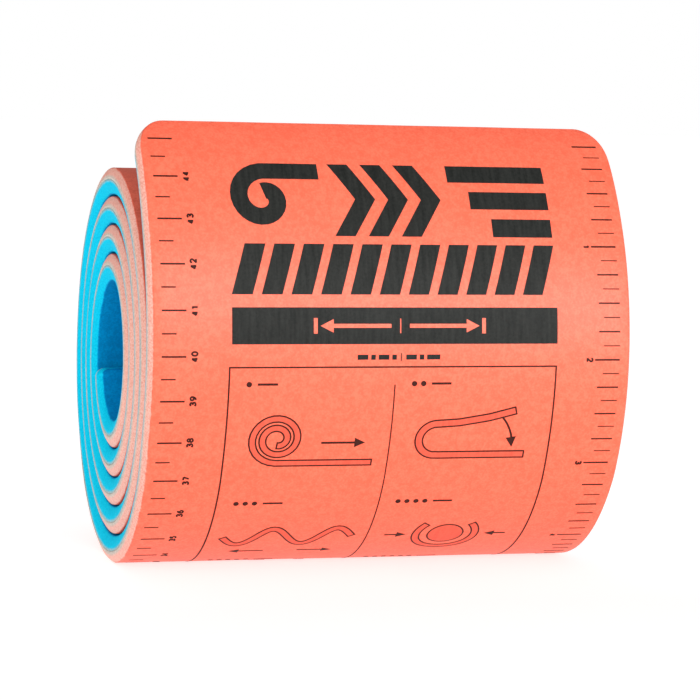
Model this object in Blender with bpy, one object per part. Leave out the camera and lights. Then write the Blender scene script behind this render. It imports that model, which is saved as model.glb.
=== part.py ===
"""A rolled splint: a padded strip of two bonded foam layers, wound into a roll, with its free end standing off it.

Metres, +Z up. X runs along the roll's axis, and the free end rises on the -Y side. The origin is at the middle of
the part's box, on the surface that the roll rests on.

A place on the strip is given by three lengths: how far along it from the inner end, how far across it from its
middle, and how deep below its outer surface.
"""

import math

import bmesh
import bpy
from mathutils import Vector

# The strip
STRIP_WIDTH = 0.1106
OUTER_THICKNESS = 0.0025
INNER_THICKNESS = 0.0034
LAYER_GAP = 0.0003
START_CORNER = 0.0025
END_CORNER_ALONG = 0.0104
END_CORNER_ACROSS = 0.0070
OUTER_EDGE_BULGE = 0.0010
INNER_EDGE_BULGE = 0.0012

# The roll
BORE_RADIUS = 0.0130
TURN_GAP = 0.00045
WOUND_ANGLE = math.radians(1580.2)
INNER_END_ANGLE = math.radians(-10.9)
REST_PRESS = 0.0004

# The free end, from where it leaves the roll
FREE_LENGTH = 0.0878
FREE_END_SHIFT = -0.00214
FREE_END_TURN = math.radians(2.95)
# share of the free length, bend as a share of the bend that the roll has where the free end leaves it
FREE_BENDS = (
    (0.000, 0.50),
    (0.245, 0.75),
    (0.491, 0.86),
    (0.736, 0.65),
    (0.982, 1.45),
    (1.000, 1.45),
)

# The cut edge of a layer, from its face to the middle of the strip
# share of the layer's thickness, share of the bulge that is still missing there
EDGE_SHAPE = (
    (0.00, 1.00),
    (0.15, 0.60),
    (0.50, 0.25),
    (1.00, 0.00),
)

OUTER_COLOUR = (0.93, 0.17, 0.10)
INNER_COLOUR = (0.01, 0.35, 0.75)
FOAM_ROUGHNESS = 0.85
SHARP_ANGLE = math.radians(35)

STEPS_PER_TURN = 36
CORNER_STEPS = 4
SHORTEST_STEP = 0.002
FREE_STEPS = 14
PATH_STEPS_PER_FREE_STEP = 8

THICKNESS = OUTER_THICKNESS + LAYER_GAP + INNER_THICKNESS
PITCH = THICKNESS + TURN_GAP
FIRST_RADIUS = BORE_RADIUS + THICKNESS
LAST_RADIUS = FIRST_RADIUS + PITCH * WOUND_ANGLE / math.tau
WOUND_LENGTH = (FIRST_RADIUS + LAST_RADIUS) / 2 * WOUND_ANGLE
STRIP_LENGTH = WOUND_LENGTH + FREE_LENGTH


def wound_point(along):
    """Place and outward direction of the outer surface in the Y-Z plane, on the wound stretch."""
    growth = PITCH / math.tau
    turned = (math.sqrt(FIRST_RADIUS**2 + 2 * growth * along) - FIRST_RADIUS) / growth
    radius = FIRST_RADIUS + growth * turned
    angle = INNER_END_ANGLE - turned
    heading = angle - math.pi / 2 + math.atan(growth / radius)
    place = Vector((0, radius * math.cos(angle), radius * math.sin(angle)))
    return place, heading


def bend_share(share):
    """The free end's bend at this share of its length, read between the rows of FREE_BENDS."""
    for (start, low), (end, high) in zip(FREE_BENDS, FREE_BENDS[1:]):
        if share <= end:
            return low + (high - low) * (share - start) / (end - start)
    return FREE_BENDS[-1][1]


def free_path():
    """Places and headings of the outer surface along the free end, in equal steps of its length."""
    place, heading = wound_point(WOUND_LENGTH)
    path = [(place, heading)]
    count = FREE_STEPS * PATH_STEPS_PER_FREE_STEP
    step = FREE_LENGTH / count
    for index in range(count):
        heading -= bend_share((index + 0.5) / count) / LAST_RADIUS * step
        place = place + step * Vector((0, math.cos(heading), math.sin(heading)))
        path.append((place, heading))
    return path


FREE_PATH = free_path()


def free_point(along):
    """Place and heading of the outer surface on the free end, between the points of its path."""
    reach = along / FREE_LENGTH * (len(FREE_PATH) - 1)
    first = min(int(reach), len(FREE_PATH) - 2)
    part = reach - first
    (start, start_heading), (end, end_heading) = FREE_PATH[first], FREE_PATH[first + 1]
    return start.lerp(end, part), start_heading + (end_heading - start_heading) * part


def strip_point(along, across, depth):
    """A place on the strip, in space, with the roll's axis as the X axis."""
    if along <= WOUND_LENGTH:
        place, heading = wound_point(along)
        free = 0
    else:
        place, heading = free_point(along - WOUND_LENGTH)
        free = (along - WOUND_LENGTH) / FREE_LENGTH
    inward = Vector((0, math.sin(heading), -math.cos(heading)))
    sideways = Vector((across + FREE_END_SHIFT * free, across * math.tan(FREE_END_TURN) * free, 0))
    return place + depth * inward + sideways


def rest_stretch():
    """Height of the surface that the roll rests on, and the stretch of the strip that is pressed flat on it."""
    turned = INNER_END_ANGLE + math.pi / 2
    while turned + math.tau < WOUND_ANGLE:
        turned += math.tau
    growth = PITCH / math.tau
    radius = FIRST_RADIUS + growth * turned
    lowest = FIRST_RADIUS * turned + growth * turned**2 / 2 + growth
    half = math.sqrt(2 * radius * REST_PRESS)
    height = wound_point(lowest)[0].z + REST_PRESS
    return height, lowest - half, lowest + half


REST_HEIGHT, REST_START, REST_END = rest_stretch()


def stations():
    """Lengths along the strip where its section is drawn, between its rounded corners."""
    growth = PITCH / math.tau
    found = []
    for index in range(int(WOUND_ANGLE / math.tau * STEPS_PER_TURN) + 1):
        turned = index * math.tau / STEPS_PER_TURN
        found.append(FIRST_RADIUS * turned + growth * turned**2 / 2)
    found += [REST_START, REST_END]
    found += [WOUND_LENGTH + FREE_LENGTH * index / FREE_STEPS for index in range(FREE_STEPS)]
    first = START_CORNER + SHORTEST_STEP
    last = STRIP_LENGTH - END_CORNER_ALONG - SHORTEST_STEP
    kept = []
    for along in sorted(found):
        clear = not kept or along - kept[-1] > SHORTEST_STEP or along in (REST_START, REST_END)
        if first < along < last and clear:
            kept.append(along)
    return kept


def corner(along, across, inset):
    """Pairs of distance from the strip's end and half-width, round a corner that takes up along and across."""
    turns = [math.pi / 2 * index / CORNER_STEPS for index in range(CORNER_STEPS + 1)]
    middle = STRIP_WIDTH / 2 - across
    return [
        (along - (along - inset) * math.cos(turn), middle + (across - inset) * math.sin(turn))
        for turn in turns
    ]


def outline(inset):
    """Pairs of length along and half-width of the strip's outline, set in from its edge by inset."""
    first = corner(START_CORNER, START_CORNER, inset)
    end = corner(END_CORNER_ALONG, END_CORNER_ACROSS, inset)
    last = [(STRIP_LENGTH - along, half) for along, half in reversed(end)]
    return first + [(along, STRIP_WIDTH / 2 - inset) for along in stations()] + last


def edge_levels(face, core, bulge):
    """Depth and inset of each level of a layer, from its own face to the strip's middle."""
    return [(face + (core - face) * share, bulge * missing) for share, missing in EDGE_SHAPE]


def layer(name, levels, colour):
    """One foam layer as a closed solid, lofted along the strip through its levels."""
    bm = bmesh.new()
    rings = []
    for depth, inset in levels:
        sides = []
        for side in (1, -1):
            line = []
            for along, half in outline(inset):
                place = strip_point(along, side * half, depth)
                place.z = max(place.z, REST_HEIGHT)
                line.append(bm.verts.new(place))
            sides.append(line)
        rings.append(sides)
    last = len(rings[0][0]) - 1
    for (right, left), (next_right, next_left) in zip(rings, rings[1:]):
        for index in range(last):
            bm.faces.new((right[index], right[index + 1], next_right[index + 1], next_right[index]))
            bm.faces.new((left[index + 1], left[index], next_left[index], next_left[index + 1]))
        bm.faces.new((left[0], right[0], next_right[0], next_left[0]))
        bm.faces.new((right[last], left[last], next_left[last], next_right[last]))
    for right, left in (rings[0], rings[-1]):
        for index in range(last):
            bm.faces.new((right[index], right[index + 1], left[index + 1], left[index]))
    bmesh.ops.recalc_face_normals(bm, faces=bm.faces)
    mesh = bpy.data.meshes.new(name)
    bm.to_mesh(mesh)
    bm.free()
    mesh.shade_smooth()
    mesh.set_sharp_from_angle(angle=SHARP_ANGLE)
    mesh.materials.append(foam_material(name, colour))
    piece = bpy.data.objects.new(name, mesh)
    bpy.context.scene.collection.objects.link(piece)
    return piece


def foam_material(name, colour):
    """A plain matte foam in the layer's colour."""
    material = bpy.data.materials.new(name)
    material.use_nodes = True
    shader = material.node_tree.nodes["Principled BSDF"]
    shader.inputs["Base Color"].default_value = (*colour, 1)
    shader.inputs["Roughness"].default_value = FOAM_ROUGHNESS
    shader.inputs["Metallic"].default_value = 0
    return material


def set_on_origin(pieces):
    """Puts the middle of the pieces' box over the origin, with the rest surface at height 0."""
    corners = [vertex.co for piece in pieces for vertex in piece.data.vertices]
    middle = [(min(place[axis] for place in corners) + max(place[axis] for place in corners)) / 2 for axis in (0, 1)]
    for piece in pieces:
        piece.location = (-middle[0], -middle[1], -REST_HEIGHT)


def main():
    for old in list(bpy.data.objects):
        bpy.data.objects.remove(old, do_unlink=True)
    outer = layer("outer_foam", edge_levels(0, OUTER_THICKNESS, OUTER_EDGE_BULGE), OUTER_COLOUR)
    inner_levels = edge_levels(THICKNESS, THICKNESS - INNER_THICKNESS, INNER_EDGE_BULGE)
    inner = layer("inner_foam", inner_levels, INNER_COLOUR)
    set_on_origin((outer, inner))


main()
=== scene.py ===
"""The looks of a rolled splint: two bonded foam layers, wound in a roll, with dark print on the outer one.

A place on the strip is given as in the model: how far along it from the inner end, how far across it from
its middle, and how deep below its outer surface, in metres. The printing is laid out on a flat page in
millimetres, across the strip and back from its free end, and is then wrapped round the roll.
"""
import math

import bmesh
import bpy
import numpy as np
from mathutils import Matrix, Vector, noise


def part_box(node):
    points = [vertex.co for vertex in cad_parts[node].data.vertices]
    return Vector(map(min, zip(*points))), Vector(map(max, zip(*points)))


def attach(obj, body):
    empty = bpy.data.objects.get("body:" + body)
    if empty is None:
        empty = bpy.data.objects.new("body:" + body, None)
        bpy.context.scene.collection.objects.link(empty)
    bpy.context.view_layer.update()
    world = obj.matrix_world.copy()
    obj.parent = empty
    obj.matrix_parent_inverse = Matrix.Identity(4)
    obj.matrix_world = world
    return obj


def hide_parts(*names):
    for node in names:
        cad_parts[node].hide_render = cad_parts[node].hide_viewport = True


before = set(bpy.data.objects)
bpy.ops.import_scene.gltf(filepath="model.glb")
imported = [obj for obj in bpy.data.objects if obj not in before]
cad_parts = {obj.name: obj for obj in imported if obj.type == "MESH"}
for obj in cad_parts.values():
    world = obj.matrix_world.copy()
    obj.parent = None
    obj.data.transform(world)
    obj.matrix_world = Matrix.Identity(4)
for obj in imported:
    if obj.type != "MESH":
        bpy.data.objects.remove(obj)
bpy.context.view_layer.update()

MILLIMETRE = 0.001

# The strip, as in the model
STRIP_WIDTH = 0.1106
OUTER_THICKNESS = 0.0025
INNER_THICKNESS = 0.0034
LAYER_GAP = 0.0003
START_CORNER = 0.0025
END_CORNER_ALONG = 0.0104
END_CORNER_ACROSS = 0.0070
OUTER_EDGE_BULGE = 0.0010
INNER_EDGE_BULGE = 0.0012

# The roll, as in the model
BORE_RADIUS = 0.0130
TURN_GAP = 0.00045
WOUND_ANGLE = math.radians(1580.2)
INNER_END_ANGLE = math.radians(-10.9)
REST_PRESS = 0.0004

# The free end, as in the model
FREE_LENGTH = 0.0878
FREE_END_SHIFT = -0.00214
FREE_END_TURN = math.radians(2.95)
FREE_BEND_SHARES = (0.000, 0.245, 0.491, 0.736, 0.982, 1.000)
FREE_BENDS = (0.50, 0.75, 0.86, 0.65, 1.45, 1.45)
FREE_STEPS = 112
MODEL_TURN_STEP = math.radians(10)

THICKNESS = OUTER_THICKNESS + LAYER_GAP + INNER_THICKNESS
PITCH = THICKNESS + TURN_GAP
GROWTH = PITCH / math.tau
FIRST_RADIUS = BORE_RADIUS + THICKNESS
LAST_RADIUS = FIRST_RADIUS + GROWTH * WOUND_ANGLE
WOUND_LENGTH = (FIRST_RADIUS + LAST_RADIUS) / 2 * WOUND_ANGLE
STRIP_LENGTH = WOUND_LENGTH + FREE_LENGTH

# Maps: how far along and across the strip, and how far from a layer's face to its bonded side
STRIP_MAP = "strip"
EDGE_MAP = "edge"

# The foam's finer form
START_TRIM = 0.0010
BOND_GAP = 0.00004
STATION_STEP = 0.0020
ACROSS_STEPS = 36
CORNER_STEPS = 12
FILLET = 0.00012
FILLET_DEPTHS = (0, 0.00002, 0.00005, 0.00012)
EDGE_SHARES = (0.15, 0.28, 0.42, 0.56, 0.70, 0.85, 1.00)
EDGE_POWER = 2.0
SKIN_SWELL = 0.00005
SKIN_WAVE = 0.016
SKIN_NOISE_STEP = 7.3
EDGE_SWELL = 0.00010
EDGE_WAVE = 0.022
EDGE_NOISE_STEP = 3.1
EDGE_LAYER_STEP = 1.7

# The ink, over and under the foam's surface
INK_PROUD = 0.00005
TINT_PROUD = 0.00003
INK_SUNK = 0.00006
REST_CLEAR = 0.00004

# Work on the page, in millimetres
INK_STEP = 1.5
WELD = 0.001
CUT_TOLERANCE = 0.0005
MITRE_LIMIT = 0.25

# The two rulers on the page
RULER_TOP_CM = 45
CM_COUNT = 26
HALF_CM = 5
CM_START = 6.88
CM_EDGE = -52.55
CM_TICKS = {"whole": (5.39, 0.38), "half": (3.20, 0.30)}
CM_DIGIT_FOOT = -44.5
INCH = 25.4
EIGHTHS = 8
INCH_START = 7.1
INCH_EDGE = 52.21
INCH_COUNT = 10
INCH_TICKS = {"whole": (5.90, 0.39), "quarter": (5.05, 0.34), "eighth": (3.89, 0.22)}
INCH_DIGIT_FOOT = 44.29
DIGIT_HEIGHT = 1.62
DIGIT_WIDTH = 1.22
DIGIT_GAP = 0.08
DIGIT_LINE = 0.40

# The printed field between the rulers
FIELD_LEFT = -37.15
FIELD_RIGHT = 37.25
TITLE_TOP = 13.3
TITLE_FOOT = 30.5
BARS_TOP = 32.3
BARS_FOOT = 43.4
BAND_TOP = 46.2
BAND_FOOT = 54.2
DASHES_MIDDLE = 57.1
PANEL_LEFT = -37.55
PANEL_RIGHT = 37.15
PANEL_TOP = 59.3
PANEL_FOOT = 151.8
LINE = 0.34
THIN_LINE = 0.26

# The title row: a roll, chevrons and a stack of bars
ROLL_WEIGHT = 3.9
ROLL_HOLE = 1.7
ROLL_TAIL = (3, 6, 9, 13)
CHEVRON_COUNT = 3
CHEVRON_START = -13.2
CHEVRON_PITCH = 7.6
CHEVRON_THICKNESS = 4.6
CHEVRON_REACH = 5.4
STACK_BAR = 4.2
STACK_LENGTHS = (23.0, 18.5, 14.0)

# The row of slanted bars
SLANT_COUNT = 11
SLANT_LEAN = 3.4
SLANT_GAP = 2.0

# What the black band leaves bare: arrows from start to end, and upright marks by left, right, half height
BAND_ARROWS = ((-1.4, -17.5), (2.8, 18.9))
BAND_ARROW_LINE = 0.9
BAND_ARROW_HEAD = 3.0
BAND_MARKS = ((-19.0, -18.1, 1.7), (19.5, 20.4, 1.7), (0.55, 0.85, 1.6))

# The row of dashes, by left, right and half height
DASHES = (
    (-9.0, -6.6, 0.55),
    (-5.9, -4.9, 0.55),
    (-4.2, -1.8, 0.55),
    (-1.1, -0.1, 0.55),
    (2.1, 4.5, 0.55),
    (5.2, 6.2, 0.55),
    (6.9, 9.9, 0.55),
    (0.85, 1.05, 0.90),
)

# The panel's drawings, each with its row of dots and a dash over it
PANEL_COLUMNS = 2
PANEL_ROWS = 3
DIVIDER_GAP = 4
DOTS_LEFT = 15
DOTS_RISE = 12.2
DRAWING_DROP = 1.5
DOT_PITCH = 2.1
DOT_RADIUS = 0.62
DOT_INSET = 0.8
DOT_DROP = 0.6
COUNT_DASH_GAP = 0.6
COUNT_DASH_LENGTH = 4.5
COUNT_DASH_LINE = 0.50
DRAWN_STRIP = 1.7
ARROW_LINE = 0.45
ARROW_HEAD = 2.2

# The foam's edge: shares of the way to the bonded side between which one look gives way to the next
EDGE_RAGGED = 0.16
SKIN_TO_CUT = (0.02, 0.10)
CORAL_BOND_LINE = (0.56, 0.80)
BLUE_BOND_LINE = (0.78, 0.95)

# The skin that is turned over the edge: its share of the way, and how far from the left side it starts
CORAL_WRAP = 0.62
BLUE_WRAP = 0.40
WRAP_START = 0.0015
WRAP_REACH = 0.0030

# The foam's and the ink's patterns: how large their features are and how high, in metres
BLOTCH_SIZE = 0.007
MOTTLE_SIZE = 0.0015
MOTTLE_BUMP = 0.00004
GRAIN_SIZE = 0.0005
GRAIN_BUMP = 0.00003
CELL_SIZE = 0.00040
STREAK_SIZE = 0.0010
STREAK_STRETCH = (0.12, 1, 1)
INK_GRAIN_SIZE = 0.0006
INK_GRAIN_BUMP = 0.00003

# How much each pattern counts: on the foam's skin, on its cut edge and in the ink
SKIN_BLOTCH = 0.10
SKIN_MOTTLE = 0.40
SKIN_GRAIN = 0.50
CUT_GRAIN = 0.75
CUT_CELLS = 0.35
# How much the ink's lighter streaks count: partly its texture, partly painted sheen.
INK_STREAKS_AND_SHEEN = 0.6
INK_GRAIN = 0.4

# Where the colours lie on a pattern's values
SKIN_STOPS = (0.42, 0.50, 0.58)
CUT_STOPS = (0.38, 0.52, 0.64)
INK_STOPS = (0.35, 0.65)
FLOOR_STOPS = (0.3, 0.7)

# Colours, each from the pattern's low values to its high ones
CORAL_SKIN = ((0.80, 0.112, 0.056), (0.87, 0.131, 0.069), (0.92, 0.154, 0.084))
CORAL_CUT = ((0.76, 0.29, 0.22), (0.84, 0.36, 0.28), (0.88, 0.46, 0.37))
CORAL_BOND = ((0.40, 0.37, 0.30), (0.52, 0.45, 0.38), (0.66, 0.53, 0.46))
BLUE_SKIN = ((0.0, 0.25, 0.56), (0.0, 0.29, 0.63), (0.0, 0.34, 0.70))
BLUE_CUT = ((0.0, 0.48, 0.72), (0.0, 0.54, 0.79), (0.004, 0.61, 0.84))
BLUE_BOND = ((0.20, 0.38, 0.40), (0.30, 0.46, 0.47), (0.44, 0.54, 0.54))
# The inks' lighter colours fall on their streaks and grain; the streaks are partly texture and partly
# painted sheen.
BLACK_INK = ((0.008, 0.009, 0.008), (0.021, 0.022, 0.020))
BROWN_INK = ((0.030, 0.008, 0.005), (0.055, 0.013, 0.009))
TINT_INK = ((0.62, 0.085, 0.05), (0.72, 0.11, 0.065))
FLOOR_SHADES = ((0.59, 0.59, 0.59), (0.61, 0.61, 0.61))

# Gloss
CORAL_ROUGHNESS = 0.46
CORAL_SPECULAR = 0.33
BLUE_ROUGHNESS = 0.75
BLUE_SPECULAR = 0.03
INK_ROUGHNESS = 0.55
TINT_ROUGHNESS = 0.5
INK_SPECULAR = 0.12
FLOOR_ROUGHNESS = 0.9

# The camera
CAMERA_FROM_ROLL = (-0.16631, -0.61306, 0.06483)
CAMERA_YAW = math.radians(15.43)
CAMERA_PITCH = math.radians(5.67)
CAMERA_ROLL = math.radians(1.50)
CAMERA_LENS = 138.4
CAMERA_SENSOR = 36
CAMERA_CLIP = (0.01, 100)

# Light
WORLD_FRONT = 0.66
WORLD_BACK = 0.20
BACKDROP = 1.0
FLOOR_GLOW = 0.77
FLOOR_GLOW_LIT = 0.59
FLOOR_LIT_MIDDLE = (0, -0.45, 0)
FLOOR_LIT_RIM = (0.39, 0.51)
FLOOR_SIZE = 12.0
FLOOR_SIDES = 64
FLOOR_BLOTCH = 0.5
KEY_PLACE = (0.33, -0.86, 0.13)
KEY_TARGET = (0.01, 0, 0.05)
KEY_SIZE = 0.50
KEY_POWER = 9.2
FILL_PLACE = (-0.78, -0.36, 0.14)
FILL_TARGET = (-0.03, 0, 0.05)
FILL_SIZE = 0.60
FILL_POWER = 3.6


# Where a place on the strip is


def wound_line(along):
    """Y, Z and heading of the outer surface on the wound stretch, with the roll's axis as the X axis."""
    turned = (np.sqrt(FIRST_RADIUS**2 + 2 * GROWTH * along) - FIRST_RADIUS) / GROWTH
    radius = FIRST_RADIUS + GROWTH * turned
    angle = INNER_END_ANGLE - turned
    heading = angle - math.pi / 2 + np.arctan(GROWTH / radius)
    return radius * np.cos(angle), radius * np.sin(angle), heading


def free_line():
    """Y, Z and heading of the outer surface at equal steps along the free end."""
    y, z, heading = wound_line(WOUND_LENGTH)
    shares = (np.arange(FREE_STEPS) + 0.5) / FREE_STEPS
    step = FREE_LENGTH / FREE_STEPS
    bends = np.interp(shares, FREE_BEND_SHARES, FREE_BENDS) / LAST_RADIUS * step
    headings = heading - np.concatenate([[0], np.cumsum(bends)])
    ys = y + np.concatenate([[0], np.cumsum(np.cos(headings[1:]))]) * step
    zs = z + np.concatenate([[0], np.cumsum(np.sin(headings[1:]))]) * step
    return ys, zs, headings


FREE_LINE = free_line()
FREE_SHARES = np.linspace(0, 1, FREE_STEPS + 1)


def turned_to_along(turned):
    return FIRST_RADIUS * turned + GROWTH * turned**2 / 2


def rest_height():
    """Height of the surface that the roll rests on, from the roll's axis."""
    turned = INNER_END_ANGLE + math.pi / 2
    while turned + math.tau < WOUND_ANGLE:
        turned += math.tau
    return wound_line(turned_to_along(turned) + GROWTH)[1] + REST_PRESS


def roll_place():
    """The roll's axis in the row frame, from the outer layer's box."""
    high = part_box("outer_foam")[1]
    turns = np.arange(0, WOUND_ANGLE, MODEL_TURN_STEP)
    furthest = wound_line(turned_to_along(turns))[0].max()
    return np.array([high.x - STRIP_WIDTH / 2, high.y - furthest, -rest_height()])


ROLL_PLACE = roll_place()


def strip_points(along, across, depth, lowest=0.0):
    """Places in the row frame, an array of rows, none of them lower than lowest."""
    along, across, depth = np.broadcast_arrays(along, across, depth)
    wound = wound_line(np.minimum(along, WOUND_LENGTH))
    share = np.clip((along - WOUND_LENGTH) / FREE_LENGTH, 0, 1)
    free = [np.interp(share, FREE_SHARES, column) for column in FREE_LINE]
    y, z, heading = (np.where(share > 0, f, w) for f, w in zip(free, wound))
    places = np.stack(
        [
            across + FREE_END_SHIFT * share,
            y + depth * np.sin(heading) + across * math.tan(FREE_END_TURN) * share,
            z - depth * np.cos(heading),
        ],
        axis=-1,
    )
    places = places + ROLL_PLACE
    places[..., 2] = np.maximum(places[..., 2], lowest)
    return places


def swell(along, across, side):
    """How far the foam's surface stands proud of its plain form, on the outer side or the inner one."""
    flat_along, flat_across = np.broadcast_arrays(along, across)
    pairs = zip(flat_along.ravel() / SKIN_WAVE, flat_across.ravel() / SKIN_WAVE)
    values = [noise.noise(Vector((a, c, side * SKIN_NOISE_STEP))) for a, c in pairs]
    return SKIN_SWELL * np.array(values).reshape(flat_along.shape)


# The foam layers


def corner(along, across, inset):
    """Distance from the strip's end and half-width, round a corner that takes up along and across."""
    turns = np.linspace(0, math.pi / 2, CORNER_STEPS + 1)
    half = STRIP_WIDTH / 2 - across + (across - inset) * np.sin(turns)
    return along - (along - inset) * np.cos(turns), half


def outline(inset):
    """Along and half-width of the strip's outline at each station, set in from its edge by inset."""
    start_along, start_half = corner(START_CORNER, START_CORNER, inset)
    start_along = start_along + START_TRIM
    end_along, end_half = corner(END_CORNER_ALONG, END_CORNER_ACROSS, inset)
    count = round((STRIP_LENGTH - START_CORNER - END_CORNER_ALONG) / STATION_STEP)
    between = np.linspace(START_CORNER + START_TRIM, STRIP_LENGTH - END_CORNER_ALONG, count + 1)[1:-1]
    along = np.concatenate([start_along, between, STRIP_LENGTH - end_along[::-1]])
    half = np.concatenate([start_half, np.full(len(between), STRIP_WIDTH / 2 - inset), end_half[::-1]])
    return along, half


def edge_levels(face, core, bulge):
    """Depth, inset and share of the way to the core of each level of a layer, from its own face inwards."""
    thickness = abs(core - face)
    depths = list(FILLET_DEPTHS) + [thickness * share for share in EDGE_SHARES]
    levels = []
    for depth in depths:
        share = depth / thickness
        rounding = FILLET - math.sqrt(FILLET**2 - max(FILLET - depth, 0) ** 2)
        inset = bulge * (1 - share) ** EDGE_POWER + rounding
        levels.append((face + math.copysign(depth, core - face), inset, share))
    return levels


def grid_places(level, side):
    """Strip coordinates of a whole level, one row for each station, with its small waves."""
    depth, inset, share = level
    along, half = outline(inset)
    columns = np.linspace(-1, 1, ACROSS_STEPS + 1)
    waves = []
    for a in along:
        spots = [(a / EDGE_WAVE, edge * EDGE_NOISE_STEP, side * EDGE_LAYER_STEP) for edge in (-1, 1)]
        waves.append([noise.noise(Vector(spot)) for spot in spots])
    waves = EDGE_SWELL * np.array(waves)
    ripple = np.where(columns[None, :] < 0, waves[:, :1], waves[:, 1:])
    across = columns[None, :] * (half[:, None] + ripple)
    along = np.broadcast_to(along[:, None], across.shape)
    proud = swell(along, across, side) * (1 - share)
    return along, across, depth - side * proud


def skin_wrap(across):
    """How much of the edge the face's skin covers: next to none on the left side, most of it elsewhere."""
    inset = across + STRIP_WIDTH / 2
    return np.clip((inset - WRAP_START) / WRAP_REACH, 0, 1)


def foam_layer(name, face, core, bulge, side, material):
    """One foam layer as a closed mesh: its face, its cut edge level by level, and its bonded side."""
    levels = edge_levels(face, core, bulge)
    rows = len(outline(0)[0])
    columns = ACROSS_STEPS + 1
    index = np.arange(rows * columns).reshape(rows, columns)
    rim = np.concatenate([index[0, :], index[1:, -1], index[-1, -2::-1], index[-2:0:-1, 0]])
    places, strip_places, shares, faces = [], [], [], []
    previous = None
    used = 0
    for order, level in enumerate(levels):
        along, across, depth = (values.ravel() for values in grid_places(level, side))
        whole = order in (0, len(levels) - 1)
        chosen = slice(None) if whole else rim
        level_places = strip_points(along, across, depth, REST_CLEAR + INK_PROUD)[chosen]
        places.append(level_places)
        strip_places.append(np.stack([along, across], axis=-1)[chosen])
        wrapped = skin_wrap(across)[chosen]
        shares.append(np.stack([np.full(len(level_places), level[2]), wrapped], axis=-1))
        ring = used + (rim if whole else np.arange(len(rim)))
        if whole:
            quads = np.stack([index[:-1, :-1], index[1:, :-1], index[1:, 1:], index[:-1, 1:]], axis=-1)
            faces.append(used + quads.reshape(-1, 4))
        if previous is not None:
            after = np.roll(previous, -1)
            faces.append(np.stack([previous, after, np.roll(ring, -1), ring], axis=-1))
        previous = ring
        used += len(level_places)
    mesh = bpy.data.meshes.new(name)
    mesh.from_pydata(np.concatenate(places).tolist(), [], np.concatenate(faces).tolist())
    mesh.materials.append(material)
    give_map(mesh, STRIP_MAP, np.concatenate(strip_places))
    give_map(mesh, EDGE_MAP, np.concatenate(shares))
    face_outwards(mesh)
    mesh.shade_smooth()
    return add_piece(name, mesh)


def give_map(mesh, name, values):
    """A UV map that holds two values for each vertex."""
    corners = np.empty(len(mesh.loops), int)
    mesh.loops.foreach_get("vertex_index", corners)
    layer = mesh.uv_layers.new(name=name)
    layer.data.foreach_set("uv", values[corners].astype(np.float32).ravel())


def face_outwards(mesh):
    bm = bmesh.new()
    bm.from_mesh(mesh)
    bmesh.ops.recalc_face_normals(bm, faces=bm.faces)
    bm.to_mesh(mesh)
    bm.free()


def add_piece(name, mesh):
    piece = bpy.data.objects.new(name, mesh)
    bpy.context.scene.collection.objects.link(piece)
    return piece


# Shapes on the page, as closed loops of points


def bar(left, top, right, foot):
    return [(left, top), (right, top), (right, foot), (left, foot)]


def slanted_bar(left, top, right, foot, lean):
    return [(left + lean, top), (right + lean, top), (right, foot), (left, foot)]


def arc(middle, radius, start, end, steps=24):
    """Points of an arc, from start to end in degrees, clockwise on the page from three o'clock."""
    angles = [math.radians(start + (end - start) * step / steps) for step in range(steps + 1)]
    return [(middle[0] + radius * math.cos(a), middle[1] + radius * math.sin(a)) for a in angles]


def spiral(middle, start_radius, end_radius, turns, start, steps_per_turn=28):
    """Points of a spiral that widens clockwise from start, in degrees."""
    count = round(abs(turns) * steps_per_turn)
    points = []
    for step in range(count + 1):
        share = step / count
        radius = start_radius + (end_radius - start_radius) * share
        angle = math.radians(start + 360 * turns * share)
        points.append((middle[0] + radius * math.cos(angle), middle[1] + radius * math.sin(angle)))
    return points


def wave(left, right, middle, height, waves, steps=48):
    """Points of a wave from left to right."""
    points = []
    for step in range(steps + 1):
        share = step / steps
        points.append((left + (right - left) * share, middle + height * math.sin(math.tau * waves * share)))
    return points


def shifted(path, offset, closed=False):
    """The path moved to its side by offset, with mitred corners."""
    count = len(path)
    moved = []
    for i, point in enumerate(path):
        before = path[i - 1] if closed or i > 0 else None
        after = path[(i + 1) % count] if closed or i < count - 1 else None
        normals = []
        for a, b in ((before, point), (point, after)):
            if a is not None and b is not None:
                length = math.hypot(b[0] - a[0], b[1] - a[1])
                normals.append(((b[1] - a[1]) / length, (a[0] - b[0]) / length))
        nx = sum(n[0] for n in normals) / len(normals)
        ny = sum(n[1] for n in normals) / len(normals)
        size = max(nx * nx + ny * ny, MITRE_LIMIT)
        moved.append((point[0] + offset * nx / size, point[1] + offset * ny / size))
    return moved


def stroke(path, width):
    """A line of this width along an open path, as one loop."""
    return shifted(path, width / 2) + shifted(path, -width / 2)[::-1]


def rim_line(loop, width):
    """A line of this width along a closed loop, as two loops."""
    return [shifted(loop, width / 2, closed=True), shifted(loop, -width / 2, closed=True)]


def arrow(start, end, width, head_length, head_width):
    """A straight arrow as one loop."""
    length = math.hypot(end[0] - start[0], end[1] - start[1])
    ux, uy = (end[0] - start[0]) / length, (end[1] - start[1]) / length

    def place(forward, sideways):
        return (start[0] + ux * forward - uy * sideways, start[1] + uy * forward + ux * sideways)

    neck = length - head_length
    return [
        place(0, -width / 2),
        place(neck, -width / 2),
        place(neck, -head_width / 2),
        place(length, 0),
        place(neck, head_width / 2),
        place(neck, width / 2),
        place(0, width / 2),
    ]


def chevron(left, top, foot, thickness, reach):
    """A bold angle bracket that points right."""
    middle = (top + foot) / 2
    return [
        (left, top),
        (left + thickness, top),
        (left + thickness + reach, middle),
        (left + thickness, foot),
        (left, foot),
        (left + reach, middle),
    ]


# Ink


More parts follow.
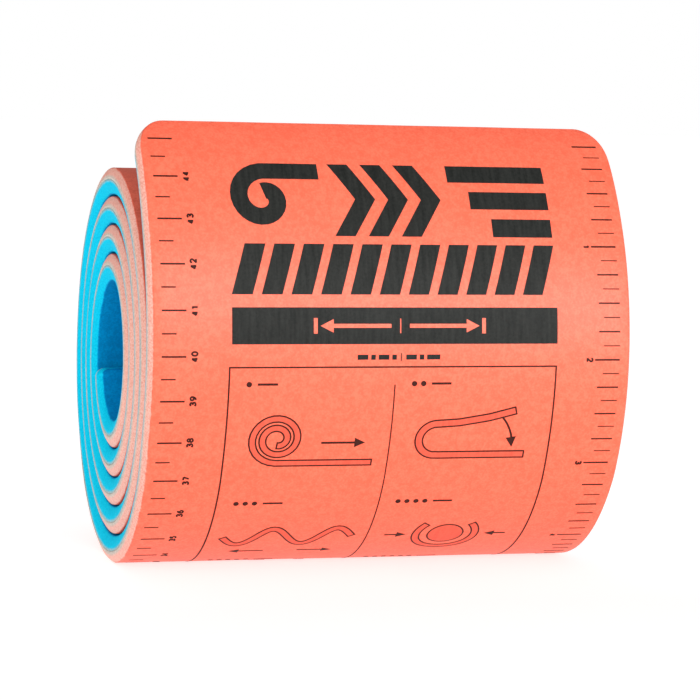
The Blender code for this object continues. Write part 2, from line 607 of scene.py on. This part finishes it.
class Ink:
    """A print in the making: thin closed films, laid on the page and wrapped onto the outer foam."""

    def __init__(self, name, proud):
        self.name = name
        self.proud = proud
        self.flats = []

    def fill(self, loops):
        """Fills closed loops, leaving out what lies inside an even number of them."""
        curve = bpy.data.curves.new("page", "CURVE")
        curve.dimensions = "2D"
        curve.fill_mode = "BOTH"
        for loop in loops:
            spline = curve.splines.new("POLY")
            spline.points.add(len(loop) - 1)
            for point, (u, v) in zip(spline.points, loop):
                point.co = (u, v, 0, 1)
            spline.use_cyclic_u = True
        holder = bpy.data.objects.new("page", curve)
        bpy.context.scene.collection.objects.link(holder)
        flat = bpy.data.meshes.new_from_object(holder)
        bm = bmesh.new()
        bm.from_mesh(flat)
        bmesh.ops.remove_doubles(bm, verts=bm.verts, dist=WELD)
        self.slice(bm)
        bpy.data.objects.remove(holder)
        bpy.data.curves.remove(curve)
        bpy.data.meshes.remove(flat)

    def number(self, text, place):
        """A number in bold strokes, its middle taken to the page's 0 0 by place."""
        pitch = DIGIT_WIDTH + DIGIT_GAP
        for order, digit in enumerate(text):
            left = pitch * (order - (len(text) - 1) / 2) - DIGIT_WIDTH / 2 + DIGIT_LINE / 2
            for path in DIGITS[digit]:
                wide, high = DIGIT_WIDTH - DIGIT_LINE, DIGIT_HEIGHT - DIGIT_LINE
                placed = [place(left + x * wide, (1 - y) * high + DIGIT_LINE / 2) for x, y in path]
                if path[0] == path[-1]:
                    self.fill(rim_line(placed[:-1], DIGIT_LINE))
                else:
                    self.fill([stroke(placed, DIGIT_LINE)])

    def slice(self, bm):
        """Cuts a flat shape into cells small enough to wrap, and keeps it."""
        for axis in (0, 1):
            values = [vertex.co[axis] for vertex in bm.verts]
            low, high = min(values), max(values)
            first = math.floor(low / INK_STEP) + 1
            for step in range(first, math.ceil(high / INK_STEP)):
                point, normal = [0, 0, 0], [0, 0, 0]
                point[axis], normal[axis] = step * INK_STEP, 1
                bmesh.ops.bisect_plane(
                    bm,
                    geom=bm.verts[:] + bm.edges[:] + bm.faces[:],
                    plane_co=point,
                    plane_no=normal,
                    dist=CUT_TOLERANCE,
                )
        bmesh.ops.triangulate(bm, faces=[face for face in bm.faces if len(face.verts) > 4])
        bm.verts.index_update()
        page = np.array([(vertex.co.x, vertex.co.y) for vertex in bm.verts])
        faces = [[vertex.index for vertex in face.verts] for face in bm.faces]
        borders = []
        for edge in bm.edges:
            if len(edge.link_loops) == 1:
                loop = edge.link_loops[0]
                borders.append((loop.vert.index, loop.link_loop_next.vert.index))
        bm.free()
        self.flats.append((page, faces, borders))

    def wrap(self, material):
        """The finished piece, on the outer foam."""
        places, strip_places, faces = [], [], []
        used = 0
        for page, flat_faces, borders in self.flats:
            count = len(page)
            along = STRIP_LENGTH - page[:, 1] * MILLIMETRE
            across = page[:, 0] * MILLIMETRE
            proud = swell(along, across, 1)
            lowest = REST_CLEAR + INK_PROUD
            places.append(strip_points(along, across, -proud - self.proud, lowest - self.proud))
            places.append(strip_points(along, across, -proud + INK_SUNK, lowest + INK_SUNK))
            strip_places += [np.stack([along, across], axis=-1)] * 2
            faces += [[used + i for i in face] for face in flat_faces]
            faces += [[used + count + i for i in reversed(face)] for face in flat_faces]
            faces += [[used + b, used + a, used + count + a, used + count + b] for a, b in borders]
            used += 2 * count
        mesh = bpy.data.meshes.new(self.name)
        mesh.from_pydata(np.concatenate(places).tolist(), [], faces)
        mesh.materials.append(material)
        give_map(mesh, STRIP_MAP, np.concatenate(strip_places))
        face_outwards(mesh)
        return add_piece(self.name, mesh)


def smooth_path(points, steps=4):
    """A rounded path through points, a Catmull-Rom curve with steps to each stretch."""
    path = []
    for order in range(len(points) - 1):
        before = points[max(order - 1, 0)]
        start, end = points[order], points[order + 1]
        after = points[min(order + 2, len(points) - 1)]
        for step in range(steps):
            t = step / steps
            place = []
            for p0, p1, p2, p3 in zip(before, start, end, after):
                bend = (2 * p0 - 5 * p1 + 4 * p2 - p3) * t * t + (3 * p1 - p0 - 3 * p2 + p3) * t**3
                place.append(0.5 * (2 * p1 + (p2 - p0) * t + bend))
            path.append(tuple(place))
    return path + [points[-1]]


def oval(middle_x, middle_y, wide, high, steps=20):
    """A closed oval path."""
    turns = [math.tau * step / steps for step in range(steps)]
    points = [(middle_x + wide * math.cos(turn), middle_y + high * math.sin(turn)) for turn in turns]
    return points + points[:1]


def half_turned(paths):
    return tuple([(1 - x, 1 - y) for x, y in path] for path in paths)


SIX = (
    smooth_path(((0.86, 0.02), (0.44, 0.08), (0.10, 0.40), (0.04, 0.68))),
    oval(0.5, 0.70, 0.46, 0.30),
)
# Each digit's strokes, from 0 to 1 across it and down it
DIGITS = {
    "0": (oval(0.5, 0.5, 0.5, 0.5),),
    "1": (((0.20, 0.22), (0.58, 0.02)), ((0.58, 0), (0.58, 1))),
    "2": (
        smooth_path(((0.04, 0.24), (0.26, 0.02), (0.70, 0.02), (0.94, 0.26), (0.70, 0.55), (0.06, 0.98))),
        ((0, 1), (1, 1)),
    ),
    "3": (
        smooth_path(((0.04, 0.14), (0.42, 0), (0.86, 0.14), (0.80, 0.40), (0.36, 0.47))),
        smooth_path(((0.36, 0.47), (0.88, 0.56), (0.92, 0.84), (0.46, 1), (0, 0.86))),
    ),
    "4": (((0.72, 0), (0.72, 1)), ((0.70, 0.02), (0.04, 0.72)), ((0, 0.72), (1, 0.72))),
    "5": (
        ((0.94, 0), (0.14, 0)),
        ((0.16, 0), (0.10, 0.48)),
        smooth_path(((0.10, 0.46), (0.56, 0.36), (0.96, 0.64), (0.66, 0.97), (0.02, 0.92))),
    ),
    "6": SIX,
    "7": (((0, 0), (1, 0)), ((0.96, 0.02), (0.36, 1))),
    "8": (oval(0.5, 0.23, 0.42, 0.23), oval(0.5, 0.73, 0.50, 0.27)),
    "9": half_turned(SIX),
}


def cm_place(half):
    return CM_START + half * HALF_CM


def inch_place(eighth):
    return INCH_START + eighth * INCH / EIGHTHS


def inch_tick(eighth):
    """Length and width of an inch ruler's tick."""
    if eighth % EIGHTHS == 0:
        return INCH_TICKS["whole"]
    return INCH_TICKS["quarter" if eighth % 2 == 0 else "eighth"]


def rulers():
    """A ruler in half centimetres on the left edge, and one in eighths of an inch on the right edge."""
    ink = Ink("printed_rulers", INK_PROUD)
    for half in range(2 * CM_COUNT + 1):
        place = cm_place(half)
        length, width = CM_TICKS["whole" if half % 2 == 0 else "half"]
        ink.fill([bar(CM_EDGE, place - width / 2, CM_EDGE + length, place + width / 2)])
        if half % 2 == 0 and half:
            text = str(RULER_TOP_CM - half // 2)
            ink.number(text, lambda x, y, v=place: (CM_DIGIT_FOOT - y, v - x))
    for eighth in range(EIGHTHS * INCH_COUNT + 1):
        place = inch_place(eighth)
        length, width = inch_tick(eighth)
        ink.fill([bar(INCH_EDGE - length, place - width / 2, INCH_EDGE, place + width / 2)])
        if eighth % EIGHTHS == 0 and eighth:
            text = str(eighth // EIGHTHS)
            ink.number(text, lambda x, y, v=place: (INCH_DIGIT_FOOT + y, v + x))
    return ink


def marks():
    """A title row of bold marks, over a row of slanted bars, a black band and a row of dashes."""
    ink = Ink("printed_marks", INK_PROUD)
    middle = (TITLE_TOP + TITLE_FOOT) / 2
    reach = (TITLE_FOOT - TITLE_TOP - ROLL_WEIGHT) / 2
    hub = (FIELD_LEFT + reach + ROLL_WEIGHT / 2, middle)
    roll = spiral(hub, start_radius=ROLL_HOLE, end_radius=reach, turns=1.0, start=-90)
    tail = [(roll[-1][0] + step, roll[-1][1]) for step in ROLL_TAIL]
    ink.fill([stroke(roll + tail, ROLL_WEIGHT)])
    for step in range(CHEVRON_COUNT):
        left = CHEVRON_START + CHEVRON_PITCH * step
        ink.fill([chevron(left, TITLE_TOP, TITLE_FOOT, CHEVRON_THICKNESS, CHEVRON_REACH)])
    pitch = (TITLE_FOOT - TITLE_TOP - STACK_BAR) / 2
    for step, length in enumerate(STACK_LENGTHS):
        top = TITLE_TOP + pitch * step
        ink.fill([bar(FIELD_RIGHT - length, top, FIELD_RIGHT, top + STACK_BAR)])
    pitch = (FIELD_RIGHT - FIELD_LEFT - SLANT_LEAN + SLANT_GAP) / SLANT_COUNT
    for step in range(SLANT_COUNT):
        left = FIELD_LEFT + pitch * step
        ink.fill([slanted_bar(left, BARS_TOP, left + pitch - SLANT_GAP, BARS_FOOT, SLANT_LEAN)])
    ink.fill([bar(FIELD_LEFT, BAND_TOP, FIELD_RIGHT, BAND_FOOT)] + band_gaps())
    for left, right, half in DASHES:
        ink.fill([bar(left, DASHES_MIDDLE - half, right, DASHES_MIDDLE + half)])
    return ink


def band_gaps():
    """What is left out of the black band: a length with its two ends, and its division."""
    middle = (BAND_TOP + BAND_FOOT) / 2
    gaps = []
    for start, end in BAND_ARROWS:
        sizes = (BAND_ARROW_LINE, BAND_ARROW_HEAD, BAND_ARROW_HEAD)
        gaps.append(arrow((start, middle), (end, middle), *sizes))
    for left, right, half in BAND_MARKS:
        gaps.append(bar(left, middle - half, right, middle + half))
    return gaps


def panel():
    """A thin frame with small drawings of the strip in use, and the tinted fills under them."""
    ink = Ink("printed_panel", INK_PROUD)
    tint = Ink("printed_tints", TINT_PROUD)
    wide, high = PANEL_RIGHT - PANEL_LEFT, PANEL_FOOT - PANEL_TOP
    ink.fill(rim_line(bar(PANEL_LEFT, PANEL_TOP, PANEL_RIGHT, PANEL_FOOT), LINE))
    left = (PANEL_LEFT + PANEL_RIGHT - THIN_LINE) / 2
    ink.fill([bar(left, PANEL_TOP + DIVIDER_GAP, left + THIN_LINE, PANEL_FOOT - DIVIDER_GAP)])
    drawings = (unrolling, folding, waving, wrapping, bending, stacking)
    for order, drawing in enumerate(drawings):
        row, column = divmod(order, PANEL_COLUMNS)
        u = PANEL_LEFT + wide * (column + 0.5) / PANEL_COLUMNS
        v = PANEL_TOP + high * (row + 0.5) / PANEL_ROWS
        count_dots(ink, u - DOTS_LEFT, v - DOTS_RISE, order + 1)
        drawing(ink, tint, u, v + DRAWING_DROP)
    return ink, tint


def count_dots(ink, left, top, count):
    """A row of dots that counts the drawings, and a dash after it."""
    middle = top + DOT_DROP
    for step in range(count):
        place = (left + DOT_INSET + DOT_PITCH * step, middle)
        ink.fill([arc(place, DOT_RADIUS, start=0, end=360, steps=14)[:-1]])
    start = left + DOT_PITCH * count + COUNT_DASH_GAP
    half = COUNT_DASH_LINE / 2
    ink.fill([bar(start, middle - half, start + COUNT_DASH_LENGTH, middle + half)])


def drawn_strip(ink, tint, path, thickness):
    """A strip seen from its edge: a tinted fill in a thin outline."""
    loop = stroke(path, thickness)
    tint.fill([loop])
    ink.fill(rim_line(loop, LINE))


def small_arrow(start, end):
    return arrow(start, end, ARROW_LINE, ARROW_HEAD, ARROW_HEAD)


def unrolling(ink, tint, u, v):
    roll = spiral((u - 7, v), start_radius=1.6, end_radius=6.2, turns=-2, start=90)
    tail = [(u - 7 + step, v + 6.2) for step in (3, 8, 13, 18, 22)]
    drawn_strip(ink, tint, roll + tail, thickness=1.5)
    ink.fill([arrow((u + 3, v + 1), (u + 13, v + 1), width=0.5, head_length=2.4, head_width=2.4)])


def folding(ink, tint, u, v):
    path = [(u + 13, v + 4.5), (u, v + 4.5), (u - 7, v + 4.5)]
    path += arc((u - 8, v + 0.5), radius=4, start=90, end=270)[1:]
    path += [(u - 3, v - 3.8), (u + 4, v - 5.0), (u + 10, v - 6.6)]
    drawn_strip(ink, tint, path, DRAWN_STRIP)
    ink.fill([stroke(arc((u - 2, v + 3), radius=12, start=-42, end=-8, steps=12), ARROW_LINE)])
    ink.fill([arrow((u + 9.4, v - 0.4), (u + 9.9, v + 2.6), width=0.3, head_length=2.6, head_width=2.4)])


def waving(ink, tint, u, v):
    drawn_strip(ink, tint, wave(u - 15, u + 15, v, height=3.6, waves=2), DRAWN_STRIP)
    for side in (-1, 1):
        ink.fill([small_arrow((u + side * 4, v + 8), (u + side * 12, v + 8))])


def wrapping(ink, tint, u, v):
    core = arc((u, v), radius=4.2, start=0, end=360, steps=36)[:-1]
    tint.fill([core])
    ink.fill(rim_line(core, LINE))
    drawn_strip(ink, tint, arc((u, v), radius=7.0, start=-40, end=220, steps=40), DRAWN_STRIP)
    for side in (-1, 1):
        ink.fill([small_arrow((u + side * 14.5, v), (u + side * 9.5, v))])


def bending(ink, tint, u, v):
    path = [(u - 12, v + 6), (u - 4, v + 6), (u + 2, v + 6)]
    path += arc((u + 3, v + 1), radius=5, start=90, end=0, steps=12)[1:]
    path += [(u + 8, v - 4), (u + 8, v - 9)]
    drawn_strip(ink, tint, path, DRAWN_STRIP)
    ink.fill([stroke(arc((u + 2, v), radius=9, start=188, end=255, steps=14), ARROW_LINE)])


def stacking(ink, tint, u, v):
    for step in range(3):
        top = v - 5 + 5.2 * step
        path = [(u - 13 + 3 * step, top), (u, top), (u + 10 + step, top)]
        drawn_strip(ink, tint, path, thickness=2.0)


# Materials


def material_start(name, roughness):
    """A new material with its shader, and the object's own coordinates for its patterns."""
    material = bpy.data.materials.new(name)
    material.use_nodes = True
    tree = material.node_tree
    shader = tree.nodes["Principled BSDF"]
    shader.inputs["Roughness"].default_value = roughness
    coordinates = tree.nodes.new("ShaderNodeTexCoord")
    return material, tree, shader, coordinates


def noise_field(tree, coordinates, size, detail=2.0, roughness=0.5, stretch=None):
    """A noise pattern whose features are about size metres across."""
    texture = tree.nodes.new("ShaderNodeTexNoise")
    texture.inputs["Scale"].default_value = 1 / size
    texture.inputs["Detail"].default_value = detail
    texture.inputs["Roughness"].default_value = roughness
    if stretch is None:
        tree.links.new(coordinates.outputs["Object"], texture.inputs["Vector"])
    else:
        mapping = tree.nodes.new("ShaderNodeMapping")
        mapping.inputs["Scale"].default_value = stretch
        tree.links.new(coordinates.outputs["UV"], mapping.inputs["Vector"])
        tree.links.new(mapping.outputs["Vector"], texture.inputs["Vector"])
    return texture.outputs["Fac"]


def cell_field(tree, coordinates, size):
    """Distance to the nearest cell's middle, for cells of about size metres."""
    texture = tree.nodes.new("ShaderNodeTexVoronoi")
    texture.inputs["Scale"].default_value = 1 / size
    tree.links.new(coordinates.outputs["Object"], texture.inputs["Vector"])
    return texture.outputs["Distance"]


def weighted(tree, fields):
    """The sum of fields, each times its weight."""
    total = None
    for field, weight in fields:
        node = tree.nodes.new("ShaderNodeMath")
        node.operation = "MULTIPLY_ADD"
        node.inputs[1].default_value = weight
        tree.links.new(field, node.inputs[0])
        if total is None:
            node.inputs[2].default_value = 0
        else:
            tree.links.new(total, node.inputs[2])
        total = node.outputs[0]
    return total


def shades(tree, field, stops, colours):
    """Colours along a field, each at its stop from 0 to 1."""
    ramp = tree.nodes.new("ShaderNodeValToRGB")
    elements = ramp.color_ramp.elements
    while len(elements) < len(stops):
        elements.new(0.5)
    for element, place, colour in zip(elements, stops, colours):
        element.position = place
        element.color = (*colour, 1)
    tree.links.new(field, ramp.inputs["Fac"])
    return ramp.outputs["Color"]


def ranged(tree, field, low, high, start=0.3, end=0.7):
    """The field from start to end, taken to low to high."""
    node = tree.nodes.new("ShaderNodeMapRange")
    node.inputs["From Min"].default_value = start
    node.inputs["From Max"].default_value = end
    node.inputs["To Min"].default_value = low
    node.inputs["To Max"].default_value = high
    tree.links.new(field, node.inputs["Value"])
    return node.outputs["Result"]


def bumps(tree, shader, layers):
    """Raised detail, one bump on another, each a field and its height in metres."""
    normal = None
    for field, height in layers:
        node = tree.nodes.new("ShaderNodeBump")
        node.inputs["Strength"].default_value = 1
        node.inputs["Distance"].default_value = height
        tree.links.new(field, node.inputs["Height"])
        if normal is not None:
            tree.links.new(normal, node.inputs["Normal"])
        normal = node.outputs["Normal"]
    tree.links.new(normal, shader.inputs["Normal"])


def edge_share(tree, ragged, wrap):
    """How far a place is from the skin's edge to the layer's bonded side, a little ragged."""
    chosen = tree.nodes.new("ShaderNodeUVMap")
    chosen.uv_map = EDGE_MAP
    split = tree.nodes.new("ShaderNodeSeparateXYZ")
    tree.links.new(chosen.outputs["UV"], split.inputs["Vector"])
    centred = tree.nodes.new("ShaderNodeMath")
    centred.operation = "SUBTRACT"
    centred.inputs[1].default_value = 0.5
    tree.links.new(ragged, centred.inputs[0])
    way, skin = split.outputs["X"], split.outputs["Y"]
    return weighted(tree, ((way, 1.0), (skin, -wrap), (centred.outputs[0], EDGE_RAGGED)))


def blend(tree, share, before, after):
    """One colour turning into another as share goes from 0 to 1."""
    node = tree.nodes.new("ShaderNodeMix")
    node.data_type = "RGBA"
    tree.links.new(share, node.inputs["Factor"])
    tree.links.new(before, node.inputs["A"])
    tree.links.new(after, node.inputs["B"])
    return node.outputs["Result"]


def foam(name, skin, cut, bond, bond_line, wrap, roughness, specular):
    """Closed foam: a felted skin, speckled open cells on its cut edge, and a duller line at the bond."""
    material, tree, shader, coordinates = material_start(name, roughness)
    blotch = noise_field(tree, coordinates, BLOTCH_SIZE)
    mottle = noise_field(tree, coordinates, MOTTLE_SIZE, detail=3, roughness=0.6)
    grain = noise_field(tree, coordinates, GRAIN_SIZE, detail=2, roughness=0.6)
    cells = cell_field(tree, coordinates, CELL_SIZE)
    face = weighted(tree, ((blotch, SKIN_BLOTCH), (mottle, SKIN_MOTTLE), (grain, SKIN_GRAIN)))
    speckle = weighted(tree, ((grain, CUT_GRAIN), (cells, CUT_CELLS)))
    face_colour = shades(tree, face, SKIN_STOPS, skin)
    cut_colour = shades(tree, speckle, CUT_STOPS, cut)
    bond_colour = shades(tree, speckle, CUT_STOPS, bond)
    share = edge_share(tree, mottle, wrap)
    opened = ranged(tree, share, 0, 1, *SKIN_TO_CUT)
    bonded = ranged(tree, share, 0, 1, *bond_line)
    colour = blend(tree, opened, face_colour, cut_colour)
    colour = blend(tree, bonded, colour, bond_colour)
    tree.links.new(colour, shader.inputs["Base Color"])
    shader.inputs["Specular IOR Level"].default_value = specular
    bumps(tree, shader, ((mottle, MOTTLE_BUMP), (grain, GRAIN_BUMP)))
    return material


def coral_foam():
    return foam(
        "coral_foam",
        CORAL_SKIN,
        CORAL_CUT,
        CORAL_BOND,
        CORAL_BOND_LINE,
        CORAL_WRAP,
        CORAL_ROUGHNESS,
        CORAL_SPECULAR,
    )


def blue_foam():
    return foam(
        "blue_foam",
        BLUE_SKIN,
        BLUE_CUT,
        BLUE_BOND,
        BLUE_BOND_LINE,
        BLUE_WRAP,
        BLUE_ROUGHNESS,
        BLUE_SPECULAR,
    )


def ink_material(name, colours, roughness):
    """Printing ink with fine lighter streaks along the strip, partly the ink's texture and partly painted
    sheen, and the foam's grain showing through.
    """
    material, tree, shader, coordinates = material_start(name, roughness)
    # Painted sheen: the streaks lighten the ink's colour along the strip, partly the ink's own texture and
    # partly its sheen.
    streaks_and_sheen = noise_field(tree, coordinates, STREAK_SIZE, detail=2, roughness=0.6, stretch=STREAK_STRETCH)
    grain = noise_field(tree, coordinates, INK_GRAIN_SIZE, detail=2, roughness=0.6)
    field = weighted(tree, ((streaks_and_sheen, INK_STREAKS_AND_SHEEN), (grain, INK_GRAIN)))
    tree.links.new(shades(tree, field, INK_STOPS, colours), shader.inputs["Base Color"])
    shader.inputs["Specular IOR Level"].default_value = INK_SPECULAR
    bumps(tree, shader, ((grain, INK_GRAIN_BUMP),))
    return material


def pale_floor():
    """A pale floor with a glow of its own, which is less where the lamps light it from near."""
    material, tree, shader, coordinates = material_start("pale_floor", FLOOR_ROUGHNESS)
    field = noise_field(tree, coordinates, FLOOR_BLOTCH, detail=1)
    tree.links.new(shades(tree, field, FLOOR_STOPS, FLOOR_SHADES), shader.inputs["Base Color"])
    shader.inputs["Specular IOR Level"].default_value = 0.0
    shader.inputs["Emission Color"].default_value = (1, 1, 1, 1)
    distance = tree.nodes.new("ShaderNodeVectorMath")
    distance.operation = "DISTANCE"
    distance.inputs[1].default_value = FLOOR_LIT_MIDDLE
    tree.links.new(coordinates.outputs["Object"], distance.inputs[0])
    glow = ranged(tree, distance.outputs["Value"], FLOOR_GLOW_LIT, FLOOR_GLOW, *FLOOR_LIT_RIM)
    tree.links.new(glow, shader.inputs["Emission Strength"])
    return material


# The stage


def floor():
    bm = bmesh.new()
    bmesh.ops.create_circle(bm, cap_ends=True, segments=FLOOR_SIDES, radius=FLOOR_SIZE / 2)
    mesh = bpy.data.meshes.new("floor")
    bm.to_mesh(mesh)
    bm.free()
    mesh.materials.append(pale_floor())
    add_piece("floor", mesh)


def area_light(name, place, target, size, power):
    """A square soft light that looks at target."""
    data = bpy.data.lights.new(name, "AREA")
    data.shape = "SQUARE"
    data.size = size
    data.energy = power
    light = bpy.data.objects.new(name, data)
    light.location = place
    light.rotation_euler = (Vector(target) - Vector(place)).to_track_quat("-Z", "Y").to_euler()
    bpy.context.scene.collection.objects.link(light)


def lights():
    """A studio that is bright in front and dim behind, with a white backdrop and two soft lamps."""
    world = bpy.data.worlds.new("studio")
    world.use_nodes = True
    tree = world.node_tree
    background = tree.nodes["Background"]
    background.inputs["Color"].default_value = (1, 1, 1, 1)
    coordinates = tree.nodes.new("ShaderNodeTexCoord")
    split = tree.nodes.new("ShaderNodeSeparateXYZ")
    tree.links.new(coordinates.outputs["Generated"], split.inputs["Vector"])
    room = ranged(tree, split.outputs["Y"], WORLD_FRONT, WORLD_BACK, start=-1, end=1)
    path = tree.nodes.new("ShaderNodeLightPath")
    chosen = tree.nodes.new("ShaderNodeMix")
    tree.links.new(path.outputs["Is Camera Ray"], chosen.inputs["Factor"])
    tree.links.new(room, chosen.inputs["A"])
    chosen.inputs["B"].default_value = BACKDROP
    tree.links.new(chosen.outputs["Result"], background.inputs["Strength"])
    bpy.context.scene.world = world
    area_light("key", KEY_PLACE, KEY_TARGET, KEY_SIZE, KEY_POWER)
    area_light("fill", FILL_PLACE, FILL_TARGET, FILL_SIZE, FILL_POWER)


def camera():
    """The photograph's view."""
    yaw, pitch, roll = CAMERA_YAW, CAMERA_PITCH, CAMERA_ROLL
    forward = Vector((math.sin(yaw) * math.cos(pitch), math.cos(yaw) * math.cos(pitch), -math.sin(pitch)))
    level = Vector((math.cos(yaw), -math.sin(yaw), 0))
    upright = level.cross(forward)
    right = math.cos(roll) * level + math.sin(roll) * upright
    up = -math.sin(roll) * level + math.cos(roll) * upright
    data = bpy.data.cameras.new("camera")
    data.lens = CAMERA_LENS
    data.sensor_width = CAMERA_SENSOR
    data.clip_start, data.clip_end = CAMERA_CLIP
    viewer = bpy.data.objects.new("camera", data)
    turn = Matrix((right, up, -forward)).transposed()
    place = Vector(ROLL_PLACE) + Vector(CAMERA_FROM_ROLL)
    viewer.matrix_world = Matrix.Translation(place) @ turn.to_4x4()
    bpy.context.scene.collection.objects.link(viewer)
    bpy.context.scene.camera = viewer


def foam_pieces():
    """The two layers, each in place of its plain solid."""
    bond = OUTER_THICKNESS + LAYER_GAP / 2
    layers = (
        ("coral_layer", 0, bond - BOND_GAP / 2, OUTER_EDGE_BULGE, 1, coral_foam(), "outer_foam"),
        ("blue_layer", THICKNESS, bond + BOND_GAP / 2, INNER_EDGE_BULGE, -1, blue_foam(), "inner_foam"),
    )
    for name, face, core, bulge, side, material, node in layers:
        piece = foam_layer(name, face, core, bulge, side, material)
        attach(piece, "root")
        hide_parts(node)


def printing():
    """The rulers, the bold marks and the panel."""
    black = ink_material("black_ink", BLACK_INK, INK_ROUGHNESS)
    brown = ink_material("ruler_ink", BROWN_INK, INK_ROUGHNESS)
    coral = ink_material("tint_ink", TINT_INK, TINT_ROUGHNESS)
    lines, tints = panel()
    for ink, material in ((rulers(), brown), (marks(), black), (lines, brown), (tints, coral)):
        piece = ink.wrap(material)
        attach(piece, "root")


def main():
    bpy.context.scene.view_settings.view_transform = "Standard"
    camera()
    lights()
    floor()
    foam_pieces()
    printing()


main()
